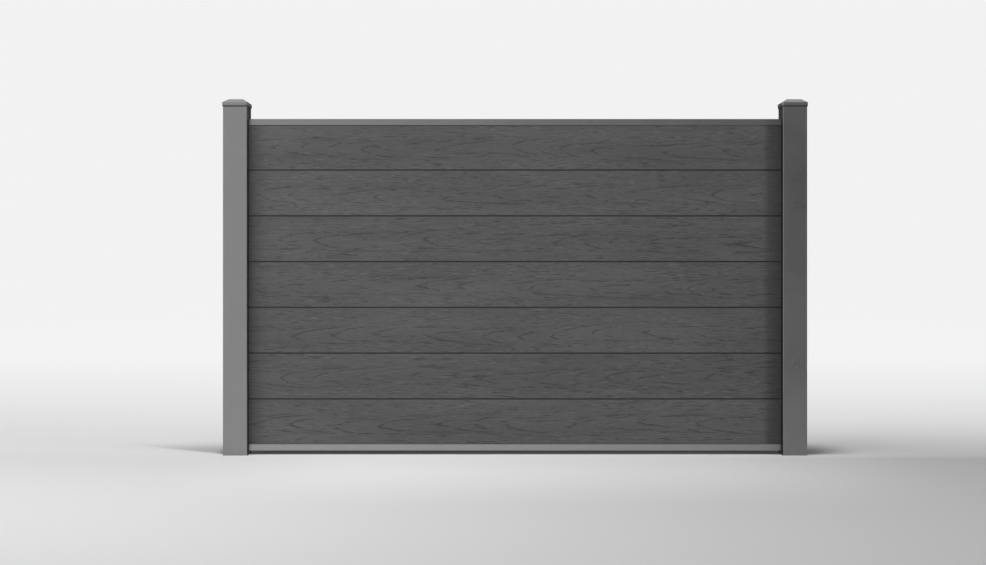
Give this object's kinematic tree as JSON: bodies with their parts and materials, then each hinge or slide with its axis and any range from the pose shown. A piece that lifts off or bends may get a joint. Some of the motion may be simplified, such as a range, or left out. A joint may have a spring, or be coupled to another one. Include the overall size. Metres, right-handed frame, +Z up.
{
  "type": "composite fence panel",
  "caption": "Fence bay of horizontal tongue-and-groove composite boards in slotted metal posts with hipped caps, closed by metal rails above and below.",
  "frame": {"origin": "on the ground, midway between the two posts and in the middle of their depth", "axes": "+X along the fence towards the post whose outer slot is open, -Y is the front as pictured, +Z up"},
  "size_m": [1.91, 0.085, 1.1635],
  "materials": {
    "powder_coat": "satin",
    "cap_coat": "satin",
    "cover_strip": "satin",
    "composite": "matte",
    "strip_rubber": "matte",
    "block_plastic": "matte",
    "bracket_metal": "satin",
    "screw_steel": "satin"
  },
  "bodies": {
    "root": {"board_1": "composite", "board_2": "composite", "board_3": "composite", "board_4": "composite", "board_5": "composite", "board_6": "composite", "board_7": "composite", "bottom_rail": "powder_coat", "left_bracket_screws": "screw_steel", "left_front_strip": "strip_rubber", "left_post": "powder_coat", "left_post_cap": "cap_coat", "left_rail_block": "block_plastic", "left_rear_strip": "strip_rubber", "left_slot_cover": "cover_strip", "left_top_bracket": "bracket_metal", "right_bracket_screws": "screw_steel", "right_front_strip": "strip_rubber", "right_post": "powder_coat", "right_post_cap": "cap_coat", "right_rail_block": "block_plastic", "right_rear_strip": "strip_rubber", "right_top_bracket": "bracket_metal", "top_rail": "powder_coat"}
  },
  "joints": []
}
